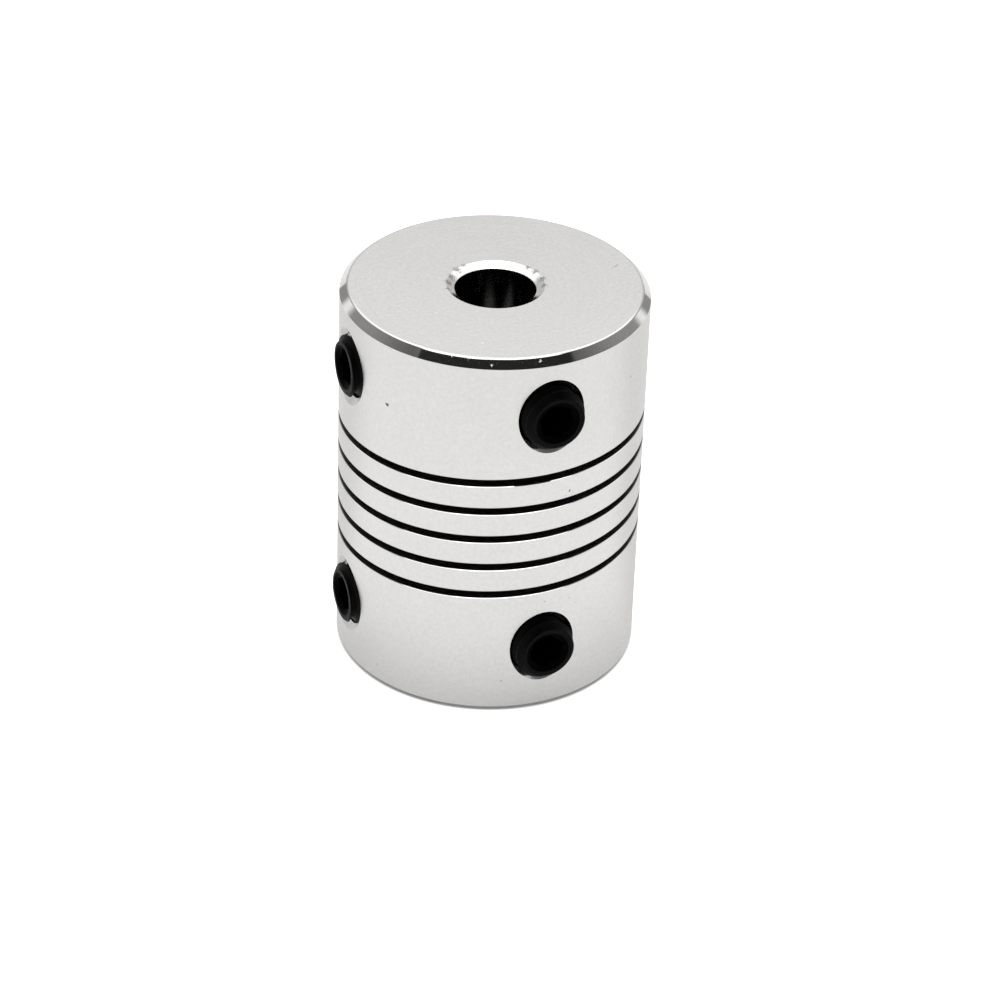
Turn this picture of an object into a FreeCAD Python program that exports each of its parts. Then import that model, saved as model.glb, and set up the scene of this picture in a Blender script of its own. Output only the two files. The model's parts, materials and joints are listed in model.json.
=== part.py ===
import FreeCAD, Part
import math
import os

import Sketcher
from FreeCAD import Placement, Rotation, Vector

# Helical beam coupling: joins a 5 mm motor shaft to an 8 mm lead screw in one line.
# One turned aluminium cylinder stands on its 8 mm end, with its axis along Z and
# the origin at the middle of its lower face. A right-hand helical slit goes through
# the wall into the bore and makes the spring. Two set screws in each hub, a quarter
# turn apart, clamp the shafts. All lengths are millimetres and all angles degrees.

# Every driving size: its name in the sheet, its value and what it measures.
SIZES = [
    ("outer_diameter", 19.0, "turned cylinder"),
    ("total_length", 25.0, "from lower to upper face"),
    ("upper_rim_chamfer", 0.5, "45 degrees, round the upper face"),
    ("lower_rim_chamfer", 0.3, "45 degrees, round the lower face"),
    ("small_bore", 5.0, "upper hub, for the motor shaft"),
    ("large_bore", 8.0, "lower hub and spring, for the lead screw"),
    ("bore_mouth_width", 0.5, "lead-in at both mouths, out from the bore"),
    ("bore_mouth_angle", 118.0, "cone that the point of a larger drill leaves at both mouths"),
    ("bore_past_slit", 0.5, "how far the large bore goes on above the slit"),
    ("drill_point_angle", 118.0, "cone between the two bores"),
    ("slit_width", 0.5, "along the axis"),
    ("slit_pitch", 2.0, "along the axis, for one turn"),
    ("slit_start_azimuth", 45.0, "where the slit starts, on the side away from the screws"),
    ("lower_web", 1.0, "from the lower tapped holes up to the middle of the slit's start"),
    ("upper_web", 1.5, "from the upper tapped holes down to the middle of the slit's end"),
    ("cutter_overrun", 0.5, "how far a cutter passes the outside, and the slit saw the bore wall"),
    ("saw_diameter", 30.0, "leaves the curved run-out at each end of the slit"),
    ("thread_diameter", 4.0, "M4 tapped holes, at the root of the thread"),
    ("thread_play", 0.05, "radial, between screw and tapped hole"),
    ("countersink_diameter", 5.0, "at the mouths of the tapped holes"),
    ("countersink_angle", 118.0, "left by the point of a larger drill"),
    ("upper_screw_depth", 4.0, "screw axes below the upper face"),
    ("lower_screw_height", 4.5, "screw axes above the lower face"),
    ("front_screw_azimuth", 270.0, "screws that point to -Y"),
    ("side_screw_azimuth", 180.0, "screws that point to -X"),
    ("screw_length", 5.0, "M4 x 5 with a cup point"),
    ("front_screw_proud", 0.8, "how far the screws at -Y stand out of the cylinder"),
    ("side_screw_proud", 0.3, "how far the screws at -X stand out of the cylinder"),
    ("screw_head_chamfer", 0.25, "45 degrees, socket end"),
    ("screw_rim_width", 0.3, "flat ring between that chamfer and the countersink of the socket"),
    ("screw_cup_diameter", 2.0, "sharp ring at the tip"),
    ("screw_cone_angle", 120.0, "cup in the tip, and countersink round the socket"),
    ("socket_across_flats", 2.0, "hexagon socket"),
    ("socket_depth", 2.2, "from the screw's head to the socket's flat floor"),
]

# Short names for the expressions that several features share.
OUTER = "Dimensions.outer_diameter / 2"
TOP = "Dimensions.total_length"
SMALL = "Dimensions.small_bore / 2"
LARGE = "Dimensions.large_bore / 2"
OVERRUN = "Dimensions.cutter_overrun"
UPPER_SCREWS = "Dimensions.total_length - Dimensions.upper_screw_depth"
LOWER_SCREWS = "Dimensions.lower_screw_height"
FRONT = "Dimensions.front_screw_azimuth"
SIDE = "Dimensions.side_screw_azimuth"
SLIT_START = f"({LOWER_SCREWS} + Dimensions.thread_diameter / 2 + Dimensions.lower_web)"
SLIT_FINISH = f"({UPPER_SCREWS} - Dimensions.thread_diameter / 2 - Dimensions.upper_web)"
SLIT_TURNS = f"({SLIT_FINISH} - {SLIT_START}) / Dimensions.slit_pitch"
LARGE_DEPTH = f"{SLIT_FINISH} + Dimensions.bore_past_slit"
SLIT_FLOOR = f"{LARGE} - {OVERRUN}"
SCREW_RADIUS = "Dimensions.thread_diameter / 2 - Dimensions.thread_play"
SCREW_HEAD = "Dimensions.screw_length"
FRONT_TIP = f"({OUTER} + Dimensions.front_screw_proud - Dimensions.screw_length)"
SIDE_TIP = f"({OUTER} + Dimensions.side_screw_proud - Dimensions.screw_length)"
SCREW_CONE = "tan(Dimensions.screw_cone_angle / 2 * 1 deg)"

# The slit is built from equal sectors of a quarter turn or less, and each wall of
# a sector is one smooth patch through this many points each way.
WIDEST_SECTOR = 90
PATCH_POINTS = 10
PATCH_MARGIN = 1.01


def make_sheet(doc):
    """Write the driving sizes into the document's sheet, one row each."""
    sheet = doc.addObject("Spreadsheet::Sheet", "Dimensions")
    for row, (name, value, meaning) in enumerate(SIZES, start=1):
        sheet.set(f"A{row}", name)
        sheet.set(f"B{row}", str(value))
        sheet.set(f"C{row}", meaning)
        sheet.setAlias(f"B{row}", name)
    doc.recompute()
    return sheet


def value_of(obj, expression):
    """The number that an expression over the sheet gives now."""
    result = obj.evalExpression(expression)
    return float(getattr(result, "Value", result))


def new_sketch(body, name, role, offset=None):
    """A sketch on one of the body's own origin planes, moved by an optional offset."""
    sketch = body.newObject("Sketcher::SketchObject", name)
    plane = next(item for item in body.Origin.OriginFeatures if item.Role == role)
    sketch.AttachmentSupport = (plane, [""])
    sketch.MapMode = "FlatFace"
    if offset:
        sketch.AttachmentOffset = offset
    return sketch


def bind(sketch, kind, *arguments, expression):
    """Add a dimension whose value follows an expression over the sheet."""
    size = value_of(sketch, expression)
    index = sketch.addConstraint(Sketcher.Constraint(kind, *arguments, size))
    sketch.setExpression(f"Constraints[{index}]", expression)


def draw_outline(sketch, corners):
    """A closed outline of straight lines; each corner is a pair of expressions."""
    points = [Vector(value_of(sketch, x), value_of(sketch, y), 0) for x, y in corners]
    for start, end in zip(points, points[1:] + points[:1]):
        sketch.addGeometry(Part.LineSegment(start, end))
    for line, (x, y) in enumerate(corners):
        following = (line + 1) % len(corners)
        sketch.addConstraint(Sketcher.Constraint("Coincident", line, 2, following, 1))
        bind(sketch, "DistanceX", -1, 1, line, 1, expression=x)
        bind(sketch, "DistanceY", -1, 1, line, 1, expression=y)


def draw_circle(sketch, height, diameter):
    """A circle on the sketch's vertical axis."""
    centre = Vector(0, value_of(sketch, height), 0)
    circle = sketch.addGeometry(Part.Circle(centre, Vector(0, 0, 1), value_of(sketch, diameter) / 2))
    sketch.addConstraint(Sketcher.Constraint("PointOnObject", circle, 3, -2))
    bind(sketch, "DistanceY", -1, 1, circle, 3, expression=height)
    bind(sketch, "Diameter", circle, expression=diameter)


def draw_half_disc(sketch, centre_x, radius, side):
    """Half of a disc centred on the horizontal axis: side is 1 for above it, -1 for below."""
    middle = Vector(value_of(sketch, centre_x), 0, 0)
    reach = Vector(value_of(sketch, radius), 0, 0)
    full = Part.Circle(middle, Vector(0, 0, 1), reach.Length)
    first = 0 if side > 0 else math.pi
    arc = sketch.addGeometry(Part.ArcOfCircle(full, first, first + math.pi))
    line = sketch.addGeometry(Part.LineSegment(middle - reach * side, middle + reach * side))
    sketch.addConstraint(Sketcher.Constraint("Coincident", arc, 1, line, 2))
    sketch.addConstraint(Sketcher.Constraint("Coincident", arc, 2, line, 1))
    for item, point in ((arc, 3), (line, 1), (line, 2)):
        sketch.addConstraint(Sketcher.Constraint("PointOnObject", item, point, -1))
    bind(sketch, "DistanceX", -1, 1, arc, 3, expression=centre_x)
    bind(sketch, "Radius", arc, expression=radius)


def revolve(doc, body, name, corners):
    """A straight-sided section, turned right round the Z axis."""
    section = new_sketch(body, f"{name}_section", "XZ_Plane")
    draw_outline(section, corners)
    turned = body.newObject("PartDesign::Revolution", name)
    turned.Profile = (section, [""])
    turned.ReferenceAxis = (section, ["V_Axis"])
    turned.Angle = 360
    doc.recompute()


def check_cut(body, name, before):
    """A cut that points away from the solid removes nothing, which must not pass."""
    if not body.Shape.Volume < before:
        raise RuntimeError(f"{name} removes no material")


def pocket(doc, body, name, sketch, depth, **settings):
    """A Pocket from a sketch, with its depth bound to an expression."""
    before = body.Shape.Volume
    cut = body.newObject("PartDesign::Pocket", name)
    cut.Profile = (sketch, [""])
    for setting, value in settings.items():
        setattr(cut, setting, value)
    cut.setExpression("Length", depth)
    doc.recompute()
    check_cut(body, name, before)


def turn_blank(doc, body):
    """The bar after the lathe: outside, rim chamfers and the stepped bore."""
    mouth = "Dimensions.bore_mouth_width"
    deep = f"{mouth} / tan(Dimensions.bore_mouth_angle / 2 * 1 deg)"
    lower, upper = "Dimensions.lower_rim_chamfer", "Dimensions.upper_rim_chamfer"
    cone = f"({LARGE} - {SMALL}) / tan(Dimensions.drill_point_angle / 2 * 1 deg)"
    revolve(doc, body, "blank", [
        (f"{LARGE} + {mouth}", "0"),
        (f"{OUTER} - {lower}", "0"),
        (OUTER, lower),
        (OUTER, f"{TOP} - {upper}"),
        (f"{OUTER} - {upper}", TOP),
        (f"{SMALL} + {mouth}", TOP),
        (SMALL, f"{TOP} - {deep}"),
        (SMALL, f"{LARGE_DEPTH} + {cone}"),
        (LARGE, LARGE_DEPTH),
        (LARGE, deep),
    ])


def drill_screw_holes(doc, body, name, azimuth):
    """Two tapped holes in one direction, one in each hub, with a countersink at the mouth.

    They are drilled from a plane that touches the cylinder, in to the bore. The cylinder
    falls away beside that plane, so the countersinks come out taller than wide.
    """
    turn = f"({azimuth} - 270) * 1 deg"
    facing = Rotation(Vector(0, 1, 0), value_of(body, azimuth) - 270)
    centres = new_sketch(body, f"{name}_centres", "XZ_Plane", Placement(Vector(), facing))
    centres.setExpression("AttachmentOffset.Base.x", f"{OUTER} * sin({turn})")
    centres.setExpression("AttachmentOffset.Base.z", f"{OUTER} * cos({turn})")
    for height in (UPPER_SCREWS, LOWER_SCREWS):
        draw_circle(centres, height, "Dimensions.thread_diameter")
    before = body.Shape.Volume
    doc.recompute()
    holes = body.newObject("PartDesign::Hole", name)
    holes.Profile = (centres, [""])
    holes.DepthType = "Dimension"
    holes.DrillPoint = "Flat"
    holes.HoleCutType = "Countersink"
    holes.HoleCutCustomValues = True
    holes.setExpression("Diameter", "Dimensions.thread_diameter")
    holes.setExpression("Depth", OUTER)
    holes.setExpression("HoleCutDiameter", "Dimensions.countersink_diameter")
    holes.setExpression("HoleCutCountersinkAngle", "Dimensions.countersink_angle")
    doc.recompute()
    check_cut(body, name, before)


def cut_run_out(doc, body, name, height, turns, side):
    """The arc that the saw leaves past an end of the slit, where it goes in or comes out."""
    azimuth = value_of(body, f"Dimensions.slit_start_azimuth + 360 * {turns}")
    turn = Rotation(Vector(0, 0, 1), azimuth)
    disc = new_sketch(body, f"{name}_disc", "XY_Plane", Placement(Vector(), turn))
    disc.setExpression("AttachmentOffset.Base.z", height)
    radius = "Dimensions.saw_diameter / 2"
    draw_half_disc(disc, f"{SLIT_FLOOR} + {radius}", radius, side)
    pocket(doc, body, name, disc, "Dimensions.slit_width", SideType="Symmetric")


def rising_wall(angle, rise, inner, outer):
    """One wall of the slit over a sector centred on +X, through the origin's height.

    It rises evenly with the angle round Z, in millimetres per radian. The patch is
    laid out in X and Y, a little past the sector all round, and trimmed to it.
    """
    half = math.radians(angle / 2)
    near, far = inner * math.cos(half) / PATCH_MARGIN, outer * PATCH_MARGIN
    wide = outer * math.sin(half) * PATCH_MARGIN
    steps = [number / (PATCH_POINTS - 1) for number in range(PATCH_POINTS)]
    places = [[(near + (far - near) * u, wide * (2 * v - 1)) for v in steps] for u in steps]
    patch = Part.BSplineSurface()
    patch.interpolate([[Vector(x, y, rise * math.atan2(y, x)) for x, y in row] for row in places])

    def corner(radius, turn):
        return Vector(radius * math.cos(turn), radius * math.sin(turn), rise * turn)

    def edge(radius):
        helix = Part.makeHelix(rise * 2 * math.pi, rise * 2 * half, radius)
        helix.rotate(Vector(), Vector(0, 0, 1), -angle / 2)
        helix.translate(Vector(0, 0, -rise * half))
        return helix.Edges[0]

    first = Part.LineSegment(corner(inner, -half), corner(outer, -half)).toShape()
    last = Part.LineSegment(corner(outer, half), corner(inner, half)).toShape()
    wall = Part.Face(patch, Part.Wire([first, edge(outer), last, edge(inner)]))
    wall.validate()
    return wall


def make_slit(doc, sheet):
    """The space that the slit takes: equal sectors, each turned and lifted past the last."""
    turned = 360 * value_of(sheet, SLIT_TURNS)
    count = math.ceil(round(turned / WIDEST_SECTOR, 6))
    angle = turned / count
    rise = sheet.slit_pitch / (2 * math.pi)
    inner = value_of(sheet, SLIT_FLOOR)
    outer = value_of(sheet, f"{OUTER} + {OVERRUN}")
    sector = rising_wall(angle, rise, inner, outer).extrude(Vector(0, 0, sheet.slit_width))
    start = value_of(sheet, SLIT_START) - sheet.slit_width / 2
    sectors = []
    for number in range(count):
        passed = angle * (number + 0.5)
        place = Vector(0, 0, start + rise * math.radians(passed))
        turn = Rotation(Vector(0, 0, 1), sheet.slit_start_azimuth + passed)
        piece = sector.copy()
        piece.Placement = Placement(place, turn)
        sectors.append(piece)
    slit = doc.addObject("Part::Feature", "helical_slit")
    slit.Shape = sectors[0].multiFuse(sectors[1:])
    return slit


def make_coupling_body(doc, sheet):
    """The turned and drilled cylinder, with the helical slit cut through its wall."""
    turned = doc.addObject("PartDesign::Body", "turned_body")
    turn_blank(doc, turned)
    drill_screw_holes(doc, turned, "front_holes", FRONT)
    drill_screw_holes(doc, turned, "side_holes", SIDE)
    cut_run_out(doc, turned, "lower_run_out", SLIT_START, 0, -1)
    cut_run_out(doc, turned, "upper_run_out", SLIT_FINISH, SLIT_TURNS, 1)
    cut = doc.addObject("Part::Cut", "coupling_body")
    cut.Base = turned
    cut.Tool = make_slit(doc, sheet)
    doc.recompute()
    return cut


def cut_socket(doc, body, name):
    """The hexagon socket, down the screw from its head."""
    corner = "Dimensions.socket_across_flats / 2 / cos(30 deg)"
    angles = [f"{60 * number} deg" for number in range(6)]
    hexagon = new_sketch(body, f"{name}_hexagon", "XY_Plane")
    hexagon.setExpression("AttachmentOffset.Base.z", SCREW_HEAD)
    draw_outline(hexagon, [(f"{corner} * cos({a})", f"{corner} * sin({a})") for a in angles])
    pocket(doc, body, f"{name}_socket", hexagon, "Dimensions.socket_depth")


def make_set_screw(doc, name, azimuth, height, tip, key_turn):
    """One set screw: made along its own Z from the cup point up, then put in its hole.

    tip is how far the cup point is from the coupling's axis.
    """
    body = doc.addObject("PartDesign::Body", name)
    cup = "Dimensions.screw_cup_diameter / 2"
    face = f"{SCREW_RADIUS} - Dimensions.screw_head_chamfer"
    mouth = f"({face} - Dimensions.screw_rim_width)"
    revolve(doc, body, f"{name}_blank", [
        ("0", f"{cup} / {SCREW_CONE}"),
        (cup, "0"),
        (SCREW_RADIUS, f"{SCREW_RADIUS} - {cup}"),
        (SCREW_RADIUS, f"{SCREW_HEAD} - Dimensions.screw_head_chamfer"),
        (face, SCREW_HEAD),
        (mouth, SCREW_HEAD),
        ("0", f"{SCREW_HEAD} - {mouth} / {SCREW_CONE}"),
    ])
    cut_socket(doc, body, name)
    lie_down = Rotation(Vector(0, 1, 0), 90)
    outward = Rotation(Vector(0, 0, 1), value_of(body, azimuth)) * lie_down
    body.Placement = Placement(Vector(), outward * Rotation(Vector(0, 0, 1), key_turn))
    body.setExpression("Placement.Base.x", f"{tip} * cos({azimuth} * 1 deg)")
    body.setExpression("Placement.Base.y", f"{tip} * sin({azimuth} * 1 deg)")
    body.setExpression("Placement.Base.z", height)
    return body


def check_document(doc, parts):
    """Stop with a plain message if any object failed or any part has a bad shape."""
    for item in doc.Objects:
        if {"Invalid", "Error"} & set(item.State):
            raise RuntimeError(f"{item.Label} failed: {item.State}")
    for part in parts:
        if part.Shape.isNull() or not part.Shape.isValid():
            raise RuntimeError(f"{part.Label} has no valid shape")
        if len(part.Shape.Solids) != 1:
            raise RuntimeError(f"{part.Label} isn't one solid")


def main():
    doc = FreeCAD.newDocument("HelicalCoupling")
    sheet = make_sheet(doc)
    # Each screw stopped at its own turn of the key, so the sockets don't line up.
    screws = [
        ("set_screw_top_front", FRONT, UPPER_SCREWS, FRONT_TIP, 12),
        ("set_screw_top_side", SIDE, UPPER_SCREWS, SIDE_TIP, 37),
        ("set_screw_bottom_front", FRONT, LOWER_SCREWS, FRONT_TIP, 48),
        ("set_screw_bottom_side", SIDE, LOWER_SCREWS, SIDE_TIP, 5),
    ]
    parts = [make_coupling_body(doc, sheet)]
    parts += [make_set_screw(doc, *screw) for screw in screws]
    doc.recompute()
    check_document(doc, parts)

    os.makedirs("parts", exist_ok=True)
    for part in parts:
        part.Shape.exportStep(os.path.join("parts", f"{part.Label}.step"))
        print(f"{part.Label}: {part.Shape.Volume:.3f} mm3, {len(part.Shape.Faces)} faces")


main()
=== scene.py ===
import json
import math

import bmesh
import bpy
from mathutils import Matrix, Quaternion, Vector


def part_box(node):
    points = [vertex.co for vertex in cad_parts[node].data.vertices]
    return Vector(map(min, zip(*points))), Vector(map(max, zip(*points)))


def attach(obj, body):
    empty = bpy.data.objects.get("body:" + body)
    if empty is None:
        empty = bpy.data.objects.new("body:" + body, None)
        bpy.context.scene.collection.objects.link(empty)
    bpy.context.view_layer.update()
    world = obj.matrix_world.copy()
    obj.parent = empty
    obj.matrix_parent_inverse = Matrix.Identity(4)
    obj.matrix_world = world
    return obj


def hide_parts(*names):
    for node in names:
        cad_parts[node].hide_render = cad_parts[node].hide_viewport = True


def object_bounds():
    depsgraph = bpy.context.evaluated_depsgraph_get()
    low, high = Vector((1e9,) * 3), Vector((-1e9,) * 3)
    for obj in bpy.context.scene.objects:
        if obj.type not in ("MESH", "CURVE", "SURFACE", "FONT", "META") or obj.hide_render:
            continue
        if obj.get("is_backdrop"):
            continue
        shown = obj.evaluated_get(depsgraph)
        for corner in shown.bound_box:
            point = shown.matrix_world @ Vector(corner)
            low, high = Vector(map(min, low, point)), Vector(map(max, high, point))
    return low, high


# Looks of a helical beam coupling: a turned aluminium cylinder with a helical slit and
# four black set screws. Meshes are drawn in millimetres and then brought to metres.
MM = 0.001

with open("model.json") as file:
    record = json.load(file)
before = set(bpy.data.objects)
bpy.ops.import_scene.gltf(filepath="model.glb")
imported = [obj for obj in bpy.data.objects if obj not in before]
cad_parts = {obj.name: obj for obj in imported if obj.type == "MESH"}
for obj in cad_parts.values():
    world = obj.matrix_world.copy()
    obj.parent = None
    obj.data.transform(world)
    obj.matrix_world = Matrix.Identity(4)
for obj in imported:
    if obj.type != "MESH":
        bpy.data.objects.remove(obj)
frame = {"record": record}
CAD_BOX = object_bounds()
RECORD = frame["record"]
BODY = "coupling_body"

# How far each screw was turned by its key, in degrees.
SCREW_KEY_TURNS = {
    "set_screw_top_front": 12,
    "set_screw_top_side": 37,
    "set_screw_bottom_front": 48,
    "set_screw_bottom_side": 5,
}


def node_box(node):
    """Lowest and highest corner of a node, in millimetres."""
    low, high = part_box(node)
    return low / MM, high / MM


def bore_radius(mount):
    """Radius of a bore that the record names, in millimetres."""
    return next(item["dims"]["r_mm"] for item in RECORD["mounts"] if item["name"] == mount)


# The cylinder, in millimetres.
RADIUS, TOP = node_box(BODY)[1].x, node_box(BODY)[1].z
SMALL_BORE = bore_radius("bore_5")
LARGE_BORE = bore_radius("bore_8")
LARGE_BORE_DEPTH = 18.0
DRILL_POINT = math.radians(118)
UPPER_CHAMFER = 0.5
LOWER_CHAMFER = 0.3
BORE_MOUTH = 0.5
BORE_MOUTH_ANGLE = math.radians(118)
EDGE_ROUND = 0.22
SMALL_ROUND = 0.05
MOUTH_ROUND = 0.03

# The helical slit, in millimetres.
SLIT_WIDTH = 0.5
SLIT_PITCH = 2.0
SLIT_TURNS = 5
SLIT_START = math.radians(45)
SLIT_FLOOR = LARGE_BORE - 0.5
SLIT_EDGE_BREAK = 0.035
SLIT_EDGE_SLOPE = 0.68
SAW_RADIUS = 15.0
OVERRUN = 0.3  # how far a cutting tool reaches past what it cuts

# Threads, set screws and their holes, in millimetres.
THREAD_PITCH = 0.7
HOLE_RADIUS = 2.0
HOLE_GROOVE = 0.2
COUNTERSINK_RADIUS = 2.5
COUNTERSINK = math.radians(118)
SCREW_RADIUS = 1.95
SCREW_ROOT = 1.58
SCREW_LENGTH = 5.0
HEAD_CHAMFER = 0.25
HEAD_RING = 0.3
SOCKET_FLATS = 2.0
SOCKET_DEPTH = 2.2
SOCKET_CONE = math.radians(120)
CUP_RADIUS = 1.0
HEAD_ROUND, SOCKET_ROUND, CUP_ROUND = 0.06, 0.05, 0.03
HOLE_PITCHES, SCREW_PITCHES = 13, 11

# How many steps a round form gets, and the angle in degrees past which an edge is sharp.
BLANK_STEPS = 360
HELIX_STEPS = 240
SAW_STEPS = 180
EDGE_STEPS = 60
HOLE_STEPS = 96
HOLE_THREAD_STEPS = 72
SCREW_STEPS = 96
BODY_SHARP, SCREW_SHARP = 24, 30

# The photograph's view: the camera looks at the middle of the cylinder's axis from
# this azimuth and elevation, aimed a little beside it and turned a little.
VIEW_AZIMUTH = math.radians(-22.7)
VIEW_ELEVATION = math.radians(31.711)
VIEW_DISTANCE = 223.98
AIM_RIGHT, AIM_UP = 0.735, -2.541
VIEW_ROLL = math.radians(2.061)
LENS, SENSOR = 128.763, 36.0

# Light, as levels where 1 is white: what the camera sees of the floor, the floor's own
# colour, the darker colour under the cylinder's edge that is painted shade, what the floor adds
# in reflections as a painted reflection, and the room as it lights matt surfaces. The lamp's
# size and height are in metres and its power is in watts.
FLOOR_SEEN = 0.85
FLOOR_TONE = 0.93
FLOOR_PAINTED_SHADE_UNDER = 0.5
FLOOR_REFLECTED = 0.28
ROOM_LEVEL = 0.85
LAMP_SIZE, LAMP_HEIGHT, LAMP_POWER = 0.35, 0.6, 0.45

# The parts of the studio that reflections show, as levels again. A pair is a level that
# changes from the first to the second.
BACK_WALL = (0.57, 1.25)
SIDE_WALLS = (0.12, 0.28)
FRONT_WALL = (0.45, 0.16)
LOW_WALL = 0.9
HOOD = 0.02
SOFTBOX = 1.5

# Scales of the noise in the finishes, per metre, and how much finer it is across the marks
# of a cutting tool than along them.
CLOUDS = 260.0
MOTTLE = 4200.0
GRAIN = 9000.0
RAGGED = 10000.0
OXIDE_CLOUDS = 900.0
OXIDE_GRAIN = 7000.0
TOOL_MARKS = 400.0
TOOL_MARK_STRETCH = 22.0

# The darkest and the lightest patches of bare aluminium and the darkest of black oxide, as
# shares of the tone, and the lowest and highest roughness of black oxide.
DARK_PATCH = (0.955, 0.944, 0.925)
LIGHT_PATCH = (1.035, 1.027, 1.008)
DARK_OXIDE = (0.2, 0.2, 0.25)
OXIDE_ROUGHNESS = (0.34, 0.5)

# Small flaws, darker ragged spots and painted highlights. Each spot is (degrees from the view,
# distance from the axis, height, size) in degrees and millimetres, and each list comes with
# the tone and the roughness of its spots.
DARK_SPECKS = [(-41.0, RADIUS, 20.5, 0.09), (30.9, RADIUS, 15.5, 0.06)]
FAINT_SPECKS = [
    (32.4, RADIUS, 15.3, 0.05), (29.5, RADIUS, 15.2, 0.04), (61.3, RADIUS, 21.5, 0.06),
    (22.7, RADIUS, 24.2, 0.04), (-40.1, RADIUS, 23.2, 0.05), (9.3, RADIUS, 8.3, 0.04),
    (22.8, RADIUS, 7.8, 0.05), (35.8, RADIUS, 7.1, 0.05), (32.9, RADIUS, 7.6, 0.04),
    (-44.2, RADIUS, 1.3, 0.06), (7.1, RADIUS, 2.2, 0.06),
]
SCRATCH = [(110.5, 7.8, TOP, 0.08), (109.2, 7.5, TOP, 0.05), (111.7, 8.0, TOP, 0.06)]
# Painted highlights: bright dots on the end face, drawn at full tone.
PAINTED_GLINTS = [(-42.5, 5.2, TOP, 0.07), (-5.0, 7.2, TOP, 0.08)]
# Real nicks in the rim, made rougher, and drawn at full tone as painted highlights.
NICKS_AND_HIGHLIGHTS = [
    (-9.5, 8.95, TOP - 0.08, 0.17), (-15.5, 9.0, TOP - 0.12, 0.08), (-0.3, 9.3, TOP - 0.3, 0.07),
    (17.6, 9.2, TOP - 0.2, 0.07), (34.0, 8.85, TOP - 0.03, 0.16), (32.3, 8.85, TOP - 0.03, 0.13),
]
# Darker ragged spots round the bore's mouth.
MOUTH_DARK_SPOTS = [
    (-108, 2.85, TOP - 0.12, 0.22), (-93, 2.9, TOP - 0.09, 0.20), (-126, 2.95, TOP - 0.05, 0.20),
    (-76, 2.95, TOP - 0.05, 0.12), (-138, 3.0, TOP, 0.12), (127, 3.0, TOP - 0.03, 0.17),
    (108, 2.95, TOP - 0.06, 0.22), (140, 3.0, TOP, 0.14), (92, 2.95, TOP - 0.05, 0.16),
]
SIDE_FLAWS = [(DARK_SPECKS, 0.10, 0.4), (FAINT_SPECKS, 0.42, 0.3)]
FACE_FLAWS_AND_GLINTS = [(SCRATCH, 0.45, 0.4), (PAINTED_GLINTS, 1.0, 0.3), (MOUTH_DARK_SPOTS, 0.35, 0.3)]
RIM_NICKS_AND_HIGHLIGHTS = [(NICKS_AND_HIGHLIGHTS, 1.0, 0.6)]
MOUTH_FLAWS = [(MOUTH_DARK_SPOTS, 0.35, 0.3)]

# The zones of the cylinder by number, and the finish of each in that order: its name, tone,
# roughness, the height of the lathe lines and of the grain in millimetres, and its flaws and
# painted highlights.
SIDE, FACE, RIM, MOUTH, BORE, SLIT, HOLE = range(7)
TURNED = (SIDE, FACE, RIM, MOUTH, BORE)
FINISHES = [
    ("turned_side", 0.70, 0.30, 0.0012, 0.0010, SIDE_FLAWS),
    ("faced_end", 0.85, 0.24, 0.0010, 0.0010, FACE_FLAWS_AND_GLINTS),
    ("cut_rim", 0.86, 0.07, 0.0003, 0.0001, RIM_NICKS_AND_HIGHLIGHTS),
    ("countersunk_mouth", 0.84, 0.12, 0.0010, 0.0060, MOUTH_FLAWS),
    # Painted shade: the bore's near-black tone stands for the shade inside it.
    ("bored_hole_painted_shade", 0.07, 0.20, 0.0004, 0.0005, []),
    # Painted shade: the slit's walls get a dark tone for the shade inside the slit; their roughness
    # is as sawn.
    ("sawn_slit_painted_shade", 0.24, 0.40, 0.0020, 0.0010, []),
    ("drilled_hole", 0.55, 0.14, 0.0006, 0.0030, []),
]


def rounded(corners, steps=4):
    """A closed outline in which each corner (across, along, radius) becomes an arc."""
    outline = []
    for number, (across, along, radius) in enumerate(corners):
        corner = Vector((across, along))
        before = Vector(corners[number - 1][:2]) - corner
        after = Vector(corners[(number + 1) % len(corners)][:2]) - corner
        if not radius:
            outline.append((across, along))
            continue
        half = before.angle(after) / 2
        reach = radius / math.tan(half)
        inwards = (before.normalized() + after.normalized()).normalized()
        centre = corner + inwards * (radius / math.sin(half))
        first = corner + before.normalized() * reach - centre
        last = corner + after.normalized() * reach - centre
        for step in range(steps + 1):
            arm = first.slerp(last, step / steps) * radius
            outline.append(tuple(centre + arm))
    return outline


def make_mesh(name, points, faces, zones=0):
    """A closed mesh with its faces turned outwards.

    zones is the number of its material, or a list with one for each face.
    """
    mesh = bpy.data.meshes.new(name)
    mesh.from_pydata(points, [], faces)
    work = bmesh.new()
    work.from_mesh(mesh)
    bmesh.ops.recalc_face_normals(work, faces=work.faces)
    for number, face in enumerate(work.faces):
        face.material_index = zones[number] if isinstance(zones, list) else zones
    work.to_mesh(mesh)
    work.free()
    return mesh


def lathe(name, outline, segments, zone=0):
    """A closed outline of (radius, height) turned round the Z axis."""
    points, faces, rings = [], [], []
    for across, along in outline:
        if across < 1e-6:
            rings.append([len(points)] * segments)
            points.append((0, 0, along))
            continue
        rings.append(range(len(points), len(points) + segments))
        for number in range(segments):
            angle = 2 * math.pi * number / segments
            points.append((across * math.cos(angle), across * math.sin(angle), along))
    for ring, following in zip(rings, rings[1:] + rings[:1]):
        for number in range(segments):
            beside = (number + 1) % segments
            corners = [ring[number], ring[beside], following[beside], following[number]]
            corners = list(dict.fromkeys(corners))
            if len(corners) > 2:
                faces.append(corners)
    return make_mesh(name, points, faces, zone)


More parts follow.
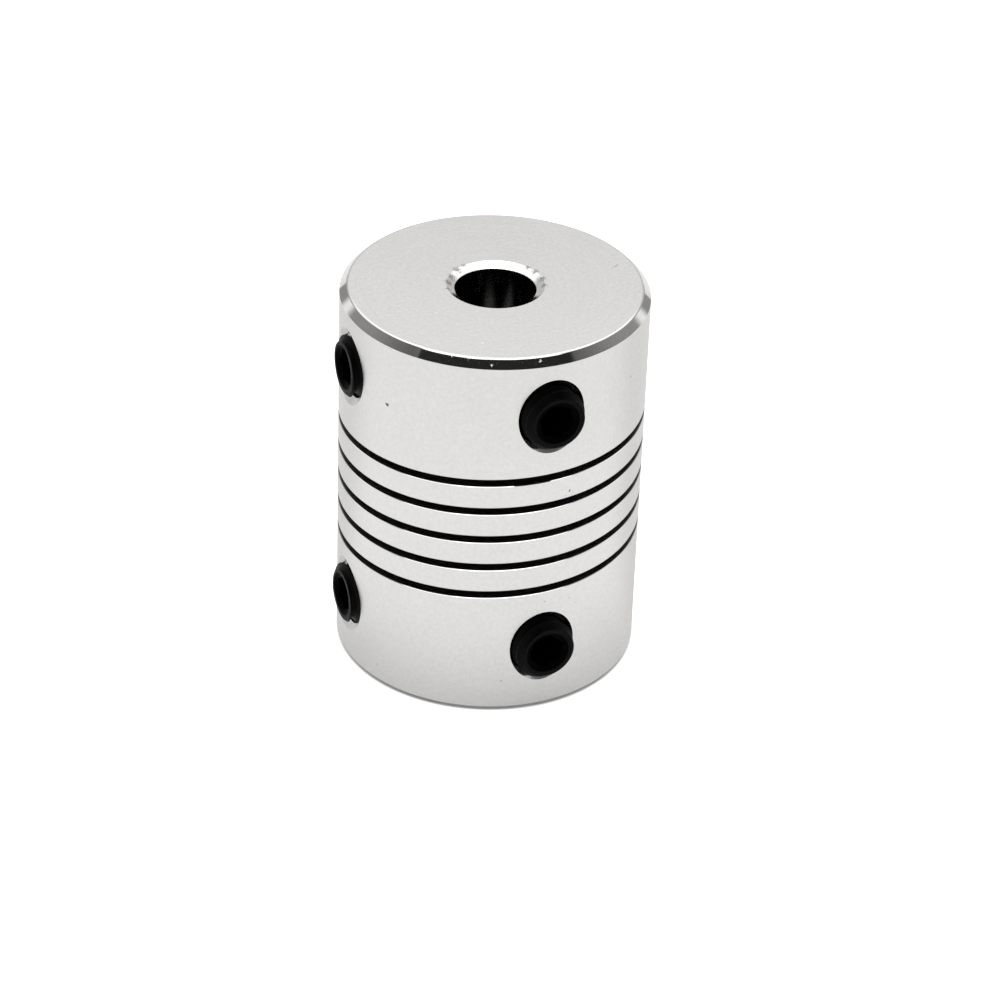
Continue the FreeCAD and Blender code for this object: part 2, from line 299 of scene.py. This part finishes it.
def sweep(name, section, path, zones):
    """A section of (radius, height) carried along a path of (angle, height) round Z.

    zones has the material's number for each side of the section; both ends get the first.
    """
    points, faces = [], []
    size = len(section)
    for angle, rise in path:
        points += [(r * math.cos(angle), r * math.sin(angle), rise + h) for r, h in section]
    for row in range(len(path) - 1):
        for number in range(size):
            beside = (number + 1) % size
            near, far = row * size, (row + 1) * size
            faces.append([near + number, near + beside, far + beside, far + number])
    last = (len(path) - 1) * size
    faces.append(list(range(size)))
    faces.append(list(range(last, last + size)))
    return make_mesh(name, points, faces, zones * (len(path) - 1) + zones[:1] * 2)


def prism(name, outline, low, high, zone=0):
    """A flat outline of (x, y) between two heights."""
    size = len(outline)
    points = [(x, y, low) for x, y in outline] + [(x, y, high) for x, y in outline]
    faces = [list(range(size)), list(range(size, 2 * size))]
    for number in range(size):
        beside = (number + 1) % size
        faces.append([number, beside, size + beside, size + number])
    return make_mesh(name, points, faces, zone)


def thread(name, profile, count, segments, zone=0):
    """A closed screw form: profile is one pitch of (share of the pitch, radius).

    Its rows follow the helix, so its crests stay crisp. It ends in a point past each
    end, which is cut off later.
    """
    per_pitch = len(profile)
    rows = per_pitch * count + 1
    points, faces = [], []
    for column in range(segments):
        angle = 2 * math.pi * column / segments
        for row in range(rows):
            share, radius = profile[row % per_pitch]
            height = THREAD_PITCH * (row // per_pitch + share + column / segments)
            points.append((radius * math.cos(angle), radius * math.sin(angle), height))

    def at(column, row):
        if column == segments:
            return at(0, row + per_pitch)
        return column * rows + row

    for column in range(segments):
        reach = rows - per_pitch if column == segments - 1 else rows
        beside = column + 1
        for row in range(reach - 1):
            above = row + 1
            faces.append([at(column, row), at(beside, row), at(beside, above), at(column, above)])
    low, high = len(points), len(points) + 1
    points += [(0, 0, -2 * THREAD_PITCH), (0, 0, THREAD_PITCH * (count + 3))]
    lower = [at(column, 0) for column in range(segments)]
    lower += [at(0, row) for row in range(per_pitch, 0, -1)]
    upper = [at(column, rows - 1) for column in range(segments)]
    upper += [at(segments - 1, row) for row in range(rows - 2, rows - per_pitch - 2, -1)]
    for rim, tip in ((lower, low), (upper, high)):
        for number in range(len(rim)):
            faces.append([rim[number - 1], rim[number], tip])
    return make_mesh(name, points, faces, zone)


def paint(mesh, materials):
    """Give a mesh its list of materials; its faces keep the numbers that they have."""
    for material in materials:
        mesh.materials.append(material)
    return mesh


def combine(mesh, operation, tools):
    """The mesh after a boolean with each of the tool meshes in turn, which are used up."""
    carrier = bpy.data.objects.new(mesh.name, mesh)
    bpy.context.scene.collection.objects.link(carrier)
    for tool_mesh in tools:
        tool = bpy.data.objects.new(tool_mesh.name, tool_mesh)
        bpy.context.scene.collection.objects.link(tool)
        cut = carrier.modifiers.new("cut", "BOOLEAN")
        cut.operation = operation
        cut.solver = "MANIFOLD"
        cut.object = tool
        graph = bpy.context.evaluated_depsgraph_get()
        shape = bpy.data.meshes.new_from_object(carrier.evaluated_get(graph))
        carrier.modifiers.clear()
        carrier.data = shape
        bpy.data.objects.remove(tool)
    shape = carrier.data
    bpy.data.objects.remove(carrier)
    return shape


def placed(mesh, matrix):
    """The mesh itself, moved to its place."""
    mesh.transform(matrix)
    return mesh


def zone_of(centre, normal):
    """Which zone of the turned blank a face belongs to."""
    radius = math.hypot(centre.x, centre.y)
    tilt = abs(normal.z)
    if tilt > 0.99:
        return FACE
    upright = tilt < 0.1
    if radius > RADIUS - UPPER_CHAMFER - EDGE_ROUND:
        return SIDE if upright else RIM
    near_an_end = min(centre.z, TOP - centre.z) <= 1
    return MOUTH if near_an_end and not upright else BORE


def turned_blank():
    """The bar after the lathe, with its rims, bores and their lead-ins."""
    mouth = BORE_MOUTH / math.tan(BORE_MOUTH_ANGLE / 2)
    point = (LARGE_BORE - SMALL_BORE) / math.tan(DRILL_POINT / 2)
    outline = rounded([
        (LARGE_BORE + BORE_MOUTH, 0, 0),
        (RADIUS - LOWER_CHAMFER, 0, SMALL_ROUND),
        (RADIUS, LOWER_CHAMFER, SMALL_ROUND),
        (RADIUS, TOP - UPPER_CHAMFER, SMALL_ROUND),
        (RADIUS - UPPER_CHAMFER, TOP, EDGE_ROUND),
        (SMALL_BORE + BORE_MOUTH, TOP, MOUTH_ROUND),
        (SMALL_BORE, TOP - mouth, MOUTH_ROUND),
        (SMALL_BORE, LARGE_BORE_DEPTH + point, 0),
        (LARGE_BORE, LARGE_BORE_DEPTH, 0),
        (LARGE_BORE, mouth, 0),
    ])
    blank = lathe("blank", outline, BLANK_STEPS)
    for face in blank.polygons:
        face.material_index = zone_of(face.center, face.normal)
    return blank


def flare(width):
    """Section of the broken edge along both sides of a slit that is this wide."""
    half = width / 2
    reach = (SLIT_EDGE_BREAK + OVERRUN) * SLIT_EDGE_SLOPE
    return [
        (RADIUS - SLIT_EDGE_BREAK - OVERRUN, -half),
        (RADIUS - SLIT_EDGE_BREAK, -half),
        (RADIUS + OVERRUN, -half - reach),
        (RADIUS + OVERRUN, half + reach),
        (RADIUS - SLIT_EDGE_BREAK, half),
        (RADIUS - SLIT_EDGE_BREAK - OVERRUN, half),
    ]


def slit_tools():
    """What the slit takes away: the helix and the saw's run-out at each end."""
    half = SLIT_WIDTH / 2
    rise = SLIT_PITCH * SLIT_TURNS
    bottom = (TOP - rise) / 2
    section = [(SLIT_FLOOR, -half)] + flare(SLIT_WIDTH)[1:-1] + [(SLIT_FLOOR, half)]
    # The two broken edges shine like the rim; the rest has the slit's sawn roughness and a dark
    # tone that is painted shade.
    zones = [SLIT, RIM, SLIT, RIM, SLIT, SLIT]
    steps = HELIX_STEPS * SLIT_TURNS
    overlap = math.radians(0.4)
    turned = 2 * math.pi * SLIT_TURNS
    path = []
    for step in range(steps + 1):
        passed = -overlap + (turned + 2 * overlap) * step / steps
        path.append((SLIT_START + passed, bottom + SLIT_PITCH * passed / (2 * math.pi)))
    tools = [sweep("helix", section, path, zones)]
    centre = SLIT_FLOOR + SAW_RADIUS
    # Where the saw's circle crosses the outside of the cylinder.
    crossing = (RADIUS ** 2 + centre ** 2 - SAW_RADIUS ** 2) / (2 * centre)
    reach = math.acos(crossing / RADIUS)
    for side, height in ((-1, bottom), (1, bottom + rise)):
        half_disc = []
        for step in range(SAW_STEPS + 1):
            angle = math.pi - math.pi * step / SAW_STEPS
            across, along = SAW_RADIUS * math.cos(angle), side * SAW_RADIUS * math.sin(angle)
            half_disc.append((centre + across, along))
        saw = prism("run_out", half_disc, height - half, height + half, SLIT)
        tools.append(placed(saw, Matrix.Rotation(SLIT_START, 4, "Z")))
        edge = [SLIT_START + side * reach * step / EDGE_STEPS for step in range(EDGE_STEPS + 1)]
        edge = [(angle, height) for angle in edge]
        tools.append(sweep("run_out_edge", flare(SLIT_WIDTH), edge, zones))
    return tools


def thread_profile(root, crest):
    """One pitch of a thread as (share of the pitch, radius), crest first."""
    soft = 0.02
    return [
        (0.0, crest - soft), (soft, crest),
        (0.125 - soft, crest), (0.125, crest - soft),
        (0.44 - soft, root + soft), (0.44 + soft, root),
        (0.69 - soft, root), (0.69 + soft, root + soft),
    ]


def screw_place(node, tip):
    """Places what is drawn along Z in the node's hole, with Z pointing outwards.

    Its origin goes to where the hole's axis is tip millimetres from the cylinder's axis.
    """
    low, high = node_box(node)
    middle = (low + high) / 2
    outward = Vector((middle.x, middle.y, 0)).normalized()
    azimuth = math.atan2(outward.y, outward.x)
    turn = Matrix.Rotation(azimuth, 4, "Z") @ Matrix.Rotation(math.pi / 2, 4, "Y")
    return Matrix.Translation(outward * tip + Vector((0, 0, middle.z))) @ turn


def screw_tip(node):
    """How far the cup point of a set screw is from the cylinder's axis."""
    low, high = node_box(node)
    return max(min(abs(low.x), abs(high.x)), min(abs(low.y), abs(high.y)))


def hole_tools():
    """The four tapped holes with the countersinks at their mouths."""
    slope = math.tan(COUNTERSINK / 2)
    floor = RADIUS - (COUNTERSINK_RADIUS - HOLE_RADIUS) / slope
    outside = 0.6
    mouth = [
        (0, 0), (HOLE_RADIUS, 0), (HOLE_RADIUS, floor),
        (COUNTERSINK_RADIUS + outside * slope, RADIUS + outside), (0, RADIUS + outside),
    ]
    profile = thread_profile(HOLE_RADIUS - 0.01, HOLE_RADIUS + HOLE_GROOVE)
    tools = []
    for node in SCREW_KEY_TURNS:
        place = screw_place(node, 0)
        tools.append(placed(lathe("hole", mouth, HOLE_STEPS, HOLE), place))
        grooves = thread("hole_thread", profile, HOLE_PITCHES, HOLE_THREAD_STEPS, HOLE)
        tools.append(placed(grooves, place @ Matrix.Translation((0, 0, -THREAD_PITCH))))
    return tools


def shade(mesh, sharp_angle):
    """Smooth shading, with sharp edges where faces meet at more than the angle."""
    work = bmesh.new()
    work.from_mesh(mesh)
    limit = math.radians(sharp_angle)
    for face in work.faces:
        face.smooth = True
    for edge in work.edges:
        edge.smooth = len(edge.link_faces) == 2 and edge.calc_face_angle() < limit
    work.to_mesh(mesh)
    work.free()


def turn_normals(mesh):
    """Exact normals for what was turned: smooth round the axis, flat across each cut."""
    normals = []
    for face in mesh.polygons:
        turned = face.material_index in TURNED
        for number in face.loop_indices:
            point = mesh.vertices[mesh.loops[number].vertex_index].co
            radius = math.hypot(point.x, point.y)
            if not turned or radius < 1e-3:
                normals.append((0, 0, 0))
                continue
            level = math.sqrt(max(0.0, 1 - face.normal.z ** 2))
            if point.x * face.normal.x + point.y * face.normal.y < 0:
                level = -level
            normals.append((level * point.x / radius, level * point.y / radius, face.normal.z))
    mesh.normals_split_custom_set(normals)


def add_piece(name, mesh, body):
    """Put a finished mesh into the scene in place of the CAD node of that body."""
    mesh.transform(Matrix.Scale(MM, 4))
    piece = bpy.data.objects.new(name, mesh)
    bpy.context.scene.collection.objects.link(piece)
    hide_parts(body)
    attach(piece, body)
    return piece


class Nodes:
    """Short ways to add shader nodes to one node tree."""

    def __init__(self, tree):
        self.tree = tree

    def add(self, kind, inputs=(), **settings):
        node = self.tree.nodes.new(kind)
        for name, value in settings.items():
            setattr(node, name, value)
        for name, value in dict(inputs).items():
            self.put(node.inputs[name], value)
        return node

    def put(self, socket, value):
        if isinstance(value, bpy.types.NodeSocket):
            self.tree.links.new(value, socket)
        else:
            socket.default_value = value

    def math(self, operation, *values):
        return self.add("ShaderNodeMath", enumerate(values), operation=operation).outputs[0]

    def vector(self, operation, *values, output="Value"):
        node = self.add("ShaderNodeVectorMath", enumerate(values), operation=operation)
        return node.outputs[output]

    def ramp(self, value, low, high, start=0.0, end=1.0):
        """Smoothly from start to end while value goes from low to high."""
        inputs = {"Value": value, "From Min": low, "From Max": high, "To Min": start, "To Max": end}
        node = self.add("ShaderNodeMapRange", inputs, interpolation_type="SMOOTHSTEP")
        return node.outputs["Result"]

    def band(self, value, low, high, soft):
        """1 between low and high, with soft edges, and 0 outside."""
        rising = self.ramp(value, low - soft, low + soft)
        falling = self.ramp(value, high - soft, high + soft, 1.0, 0.0)
        return self.math("MULTIPLY", rising, falling)

    def mix(self, share, first, second):
        inputs = {"Factor": share, "A": first, "B": second}
        return self.add("ShaderNodeMix", inputs, data_type="FLOAT").outputs["Result"]

    def mix_colour(self, share, first, second):
        # By number, because the sockets for numbers and for colours have the same names.
        node = self.add("ShaderNodeMix", data_type="RGBA")
        self.put(node.inputs[0], share)
        self.put(node.inputs[6], first)
        self.put(node.inputs[7], second)
        return node.outputs[2]

    def noise(self, vector, scale, detail=2.0, roughness=0.5):
        inputs = {"Vector": vector, "Scale": scale, "Detail": detail, "Roughness": roughness}
        return self.add("ShaderNodeTexNoise", inputs).outputs["Fac"]


def new_material(name, **settings):
    """A Principled material, with the sockets that are the same all over it."""
    material = bpy.data.materials.new(name)
    material.use_nodes = True
    shader = material.node_tree.nodes["Principled BSDF"]
    for socket, value in settings.items():
        shader.inputs[socket.replace("_", " ")].default_value = value
    return material, Nodes(material.node_tree), shader


def tinted(tone, tint=(1, 1, 1)):
    """A grey tone as a colour, with a tint on it."""
    return (*[tone * share for share in tint], 1)


def lathe_marks(nodes):
    """Noise in fine lines round the axis, as a cutting tool leaves them."""
    place = nodes.add("ShaderNodeTexCoord").outputs["Object"]
    x, y, z = nodes.add("ShaderNodeSeparateXYZ", {"Vector": place}).outputs
    squares = nodes.math("ADD", nodes.math("MULTIPLY", x, x), nodes.math("MULTIPLY", y, y))
    along = nodes.math("SUBTRACT", z, nodes.math("SQRT", squares))
    stretched = nodes.math("MULTIPLY", along, TOOL_MARK_STRETCH)
    vector = nodes.add("ShaderNodeCombineXYZ", {"X": x, "Y": y, "Z": stretched}).outputs["Vector"]
    return nodes.noise(vector, TOOL_MARKS, 3.0)


def ragged_spots(nodes, place, spots):
    """1 in small ragged spots and 0 elsewhere."""
    ragged = nodes.noise(place, RAGGED, 3.0, 0.7)
    total = 0.0
    for degrees, radius, height, size in spots:
        turn = VIEW_AZIMUTH + math.radians(degrees)
        centre = Vector((radius * math.sin(turn), -radius * math.cos(turn), height)) * MM
        away = nodes.vector("DISTANCE", place, centre)
        reach = nodes.math("MULTIPLY", nodes.ramp(ragged, 0.35, 0.65, 0.2, 1.7), size * MM)
        total = nodes.math("MAXIMUM", total, nodes.math("LESS_THAN", away, reach))
    return total


def aluminium(name, tone, rough, marks, grain, flaws_and_highlights):
    """Bare aluminium with the values of one of the FINISHES."""
    material, nodes, shader = new_material(name, Metallic=1.0)
    place = nodes.add("ShaderNodeTexCoord").outputs["Object"]
    clouds = nodes.noise(place, CLOUDS, 3.0)
    fine = nodes.noise(place, GRAIN)
    mottle = nodes.noise(place, MOTTLE, 3.0, 0.7)
    lines = lathe_marks(nodes)
    patches = nodes.ramp(nodes.mix(0.85, clouds, mottle), 0.3, 0.7)
    colour = nodes.mix_colour(patches, tinted(tone, DARK_PATCH), tinted(tone, LIGHT_PATCH))
    roughness = nodes.ramp(lines, 0.3, 0.7, rough * 0.92, rough * 1.08)
    # Flaws, and painted highlights at full tone, are mixed into colour and roughness.
    for spots, spot_tone, spot_rough in flaws_and_highlights:
        there = ragged_spots(nodes, place, spots)
        colour = nodes.mix_colour(there, colour, tinted(spot_tone))
        roughness = nodes.mix(there, roughness, spot_rough)
    nodes.put(shader.inputs["Base Color"], colour)
    nodes.put(shader.inputs["Roughness"], roughness)
    height = nodes.math("MULTIPLY_ADD", lines, marks, nodes.math("MULTIPLY", fine, grain))
    bump = nodes.add("ShaderNodeBump", {"Height": height, "Strength": 1.0, "Distance": MM})
    nodes.put(shader.inputs["Normal"], bump.outputs["Normal"])
    return material


def black_oxide(name, tone, gloss):
    """Black oxide on steel, slightly oily, a little uneven: tone is its lightest colour."""
    material, nodes, shader = new_material(name, Metallic=0.0, Specular_IOR_Level=gloss)
    place = nodes.add("ShaderNodeTexCoord").outputs["Object"]
    clouds = nodes.noise(place, OXIDE_CLOUDS, 3.0)
    fine = nodes.noise(place, OXIDE_GRAIN)
    colour = nodes.mix_colour(clouds, tinted(tone, DARK_OXIDE), tinted(tone))
    nodes.put(shader.inputs["Base Color"], colour)
    nodes.put(shader.inputs["Roughness"], nodes.ramp(clouds, 0.3, 0.7, *OXIDE_ROUGHNESS))
    bump = nodes.add("ShaderNodeBump", {"Height": fine, "Strength": 0.3, "Distance": 0.01 * MM})
    nodes.put(shader.inputs["Normal"], bump.outputs["Normal"])
    return material


def make_body():
    """The aluminium cylinder, with a finish of its own in each zone."""
    finishes = [aluminium(*finish) for finish in FINISHES]
    tools = [paint(tool, finishes) for tool in slit_tools() + hole_tools()]
    shape = combine(paint(turned_blank(), finishes), "DIFFERENCE", tools)
    shade(shape, BODY_SHARP)
    turn_normals(shape)
    add_piece("coupling_body_turned", shape, BODY)


def screw_mesh(finishes):
    """One set screw along Z, from its cup point at the origin to its head.

    The first finish is for its outside and the second for the socket.
    """
    rim = SCREW_RADIUS - HEAD_CHAMFER
    mouth = rim - HEAD_RING
    slope = math.tan(SOCKET_CONE / 2)
    clear = 0.05
    outline = rounded([
        (0, CUP_RADIUS / slope, 0),
        (CUP_RADIUS, 0, CUP_ROUND),
        (SCREW_RADIUS + clear, SCREW_RADIUS + clear - CUP_RADIUS, 0),
        (SCREW_RADIUS + clear, SCREW_LENGTH - HEAD_CHAMFER - clear, 0),
        (rim, SCREW_LENGTH, HEAD_ROUND),
        (mouth, SCREW_LENGTH, SOCKET_ROUND),
        (0, SCREW_LENGTH - mouth / slope, 0),
    ])
    envelope = lathe("envelope", outline, SCREW_STEPS)
    profile = thread_profile(SCREW_ROOT, SCREW_RADIUS)
    turns = thread("screw_thread", profile, SCREW_PITCHES, SCREW_STEPS)
    placed(turns, Matrix.Translation((0, 0, -2 * THREAD_PITCH)))
    corner = SOCKET_FLATS / 2 / math.cos(math.radians(30))
    angles = [math.radians(60 * number) for number in range(6)]
    hexagon = [(corner * math.cos(angle), corner * math.sin(angle)) for angle in angles]
    socket = prism("socket", hexagon, SCREW_LENGTH - SOCKET_DEPTH, SCREW_LENGTH + 1)
    for mesh in (turns, envelope, socket):
        paint(mesh, finishes)
    shape = combine(turns, "INTERSECT", [envelope])
    shape = combine(shape, "DIFFERENCE", [socket])
    socket_floor = SCREW_LENGTH - SOCKET_DEPTH - SMALL_ROUND
    for face in shape.polygons:
        radius = math.hypot(face.center.x, face.center.y)
        inside = radius < mouth - SMALL_ROUND and face.center.z > socket_floor
        face.material_index = 1 if inside else 0
    shade(shape, SCREW_SHARP)
    return shape


def make_screws():
    """The four set screws: one form, each turned as far as its key was."""
    form = screw_mesh([
        black_oxide("black_oxide_steel", tone=0.0012, gloss=0.06),
        # Painted shade: the socket is darker and barely glossy, so it reads as black inside.
        black_oxide("socket_painted_shade", tone=0.0008, gloss=0.01),
    ])
    for node, key_turn in SCREW_KEY_TURNS.items():
        place = screw_place(node, screw_tip(node)) @ Matrix.Rotation(math.radians(key_turn), 4, "Z")
        mesh = form.copy()
        mesh.transform(place)
        add_piece(node + "_threaded", mesh, node)


def make_floor():
    """A pale floor that keeps the contact shadow, with painted shade under the edge, and renders
    white beyond it; in reflections it glows as a painted reflection.
    """
    size = 3.0
    height = -0.01 * MM
    signs = ((-1, -1), (1, -1), (1, 1), (-1, 1))
    mesh = make_mesh("floor", [(size * x, size * y, height) for x, y in signs], [[0, 1, 2, 3]])
    floor = bpy.data.objects.new("floor", mesh)
    bpy.context.scene.collection.objects.link(floor)
    floor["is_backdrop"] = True
    material = bpy.data.materials.new("floor")
    material.use_nodes = True
    nodes = Nodes(material.node_tree)
    material.node_tree.nodes.remove(material.node_tree.nodes["Principled BSDF"])
    ray = nodes.add("ShaderNodeLightPath").outputs
    seen = nodes.math("MAXIMUM", ray["Is Camera Ray"], ray["Is Transmission Ray"])
    place = nodes.add("ShaderNodeTexCoord").outputs["Object"]
    # How far it is outside the cylinder, in millimetres.
    gap = nodes.math("SUBTRACT", nodes.math("DIVIDE", nodes.vector("LENGTH", place), MM), RADIUS)
    shown = nodes.math("MULTIPLY", FLOOR_SEEN, nodes.ramp(gap, -0.25, 0.25))
    shown = nodes.math("MULTIPLY", seen, shown)
    # A painted reflection: in reflections only, the floor glows, brighter in front of the object
    # and away from its foot, with painted shade near the foot.
    towards = (math.sin(VIEW_AZIMUTH), -math.cos(VIEW_AZIMUTH), 0)
    heading = nodes.vector("NORMALIZE", place, output="Vector")
    facing = nodes.vector("DOT_PRODUCT", heading, towards)
    glow = nodes.ramp(facing, -0.5, 0.15, 0.0, FLOOR_REFLECTED)
    glow = nodes.math("MULTIPLY", glow, nodes.ramp(gap, 0.0, 10.0, 0.38))
    glow = nodes.math("MULTIPLY", glow, nodes.ramp(gap, 18.5, 38.5, 1.0, 0.7))
    # A painted reflection: at the sides the floor just under the edge glows in reflections only, so
    # the lower chamfer picks up some light there.
    under = nodes.ramp(gap, -0.15, -0.05, 1.0, 0.0)
    under = nodes.math("MULTIPLY", under, nodes.ramp(facing, 0.5, 0.95, 0.25, 0.0))
    glow = nodes.math("ADD", glow, under)
    level = nodes.math("ADD", shown, nodes.math("MULTIPLY", ray["Is Glossy Ray"], glow))
    # Painted shade: the floor's colour darkens right under the cylinder's edge, so the lower
    # chamfer reflects it dark.
    tone = nodes.ramp(gap, -0.15, 0.05, FLOOR_PAINTED_SHADE_UNDER, FLOOR_TONE)
    matt = nodes.add("ShaderNodeBsdfDiffuse", {"Color": tone})
    light = nodes.add("ShaderNodeEmission", {"Color": (1, 1, 1, 1), "Strength": level})
    both = nodes.add("ShaderNodeAddShader", {0: matt.outputs[0], 1: light.outputs[0]})
    out = material.node_tree.nodes["Material Output"]
    nodes.put(out.inputs["Surface"], both.outputs[0])
    floor.data.materials.append(material)


def make_world():
    """Even light all round; in reflections, a studio of bright and dark parts."""
    world = bpy.data.worlds.new("studio")
    world.use_nodes = True
    bpy.context.scene.world = world
    nodes = Nodes(world.node_tree)
    # Directions are told from the photograph's view: -y is its front and x its right.
    direction = nodes.add("ShaderNodeTexCoord").outputs["Generated"]
    turning = {"Vector": direction, "Angle": -VIEW_AZIMUTH}
    turn = nodes.add("ShaderNodeVectorRotate", turning, rotation_type="Z_AXIS")
    x, y, z = nodes.add("ShaderNodeSeparateXYZ", {"Vector": turn.outputs["Vector"]}).outputs
    # Height above the horizon, and how far round from the front, in degrees.
    degrees = 180 / math.pi
    height = nodes.math("MULTIPLY", nodes.math("ARCSINE", z), degrees)
    forward = nodes.math("MULTIPLY", y, -1.0)
    side = nodes.math("MULTIPLY", nodes.math("ARCTAN2", x, forward), degrees)
    away = nodes.math("ABSOLUTE", side)
    # The wall behind gets brighter with height and reaches further round.
    back = nodes.ramp(nodes.math("ADD", away, height), 150.0, 162.0)
    beside = nodes.ramp(away, 70.0, 115.0, *SIDE_WALLS)
    level = nodes.mix(back, beside, nodes.ramp(height, 26.0, 38.0, *BACK_WALL))
    # In front the room is dim, and above it hangs a dark hood, a little to the right.
    front = nodes.ramp(away, 67.0, 71.0, 1.0, 0.0)
    level = nodes.mix(front, level, nodes.ramp(side, 15.0, 40.0, *FRONT_WALL))
    from_hood = nodes.math("ABSOLUTE", nodes.math("SUBTRACT", side, 2.0))
    hood = nodes.ramp(from_hood, 69.0, 73.0, 1.0, 0.0)
    hood = nodes.math("MULTIPLY", hood, nodes.ramp(height, 34.0, 40.0))
    level = nodes.mix(hood, level, HOOD)
    # A low pale wall goes round the front and the sides.
    wall = nodes.ramp(away, 133.0, 139.0, 1.0, 0.0)
    wall = nodes.math("MULTIPLY", wall, nodes.ramp(height, 14.0, 19.0, 1.0, 0.0))
    level = nodes.mix(wall, level, LOW_WALL)
    # The softbox overhead, by how far a ray goes sideways and back for each metre up.
    rise = nodes.math("MAXIMUM", z, 0.001)
    across = nodes.band(nodes.math("DIVIDE", x, rise), -0.62, 0.60, 0.03)
    along = nodes.band(nodes.math("DIVIDE", y, rise), -0.34, 0.75, 0.03)
    level = nodes.mix(nodes.math("MULTIPLY", across, along), level, SOFTBOX)
    ray = nodes.add("ShaderNodeLightPath").outputs
    seen = nodes.math("MAXIMUM", ray["Is Camera Ray"], ray["Is Transmission Ray"])
    strength = nodes.mix(seen, nodes.mix(ray["Is Glossy Ray"], ROOM_LEVEL, level), 1.0)
    nodes.put(world.node_tree.nodes["Background"].inputs["Strength"], strength)
    nodes.put(world.node_tree.nodes["Background"].inputs["Color"], (1, 1, 1, 1))
    world.cycles.sampling_method = "NONE"


def make_lamps():
    """One soft lamp overhead."""
    lamp = bpy.data.lights.new("overhead", "AREA")
    lamp.shape = "SQUARE"
    lamp.size = LAMP_SIZE
    lamp.energy = LAMP_POWER
    place = bpy.data.objects.new("overhead", lamp)
    place.location = (0, 0, LAMP_HEIGHT)
    bpy.context.scene.collection.objects.link(place)


def make_camera():
    """The photograph's view."""
    back = Vector((math.sin(VIEW_AZIMUTH) * math.cos(VIEW_ELEVATION),
                   -math.cos(VIEW_AZIMUTH) * math.cos(VIEW_ELEVATION),
                   math.sin(VIEW_ELEVATION)))
    right = Vector((math.cos(VIEW_AZIMUTH), math.sin(VIEW_AZIMUTH), 0))
    middle = Vector((0, 0, TOP / 2))
    aim = middle + right * AIM_RIGHT + back.cross(right) * AIM_UP
    place = middle + back * VIEW_DISTANCE
    data = bpy.data.cameras.new("camera")
    data.sensor_width = SENSOR
    data.lens = LENS
    data.clip_start = 0.01
    camera = bpy.data.objects.new("camera", data)
    camera.rotation_mode = "QUATERNION"
    aimed = (aim - place).to_track_quat("-Z", "Y")
    camera.rotation_quaternion = aimed @ Quaternion((0, 0, 1), VIEW_ROLL)
    camera.location = place * MM
    bpy.context.scene.collection.objects.link(camera)
    bpy.context.scene.camera = camera


make_body()
make_screws()
make_floor()
make_world()
make_lamps()
make_camera()
bpy.context.scene.view_settings.view_transform = "Standard"

boxes = {"cad": CAD_BOX, "visual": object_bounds()}
{name: [list(corner) for corner in box] for name, box in boxes.items()}
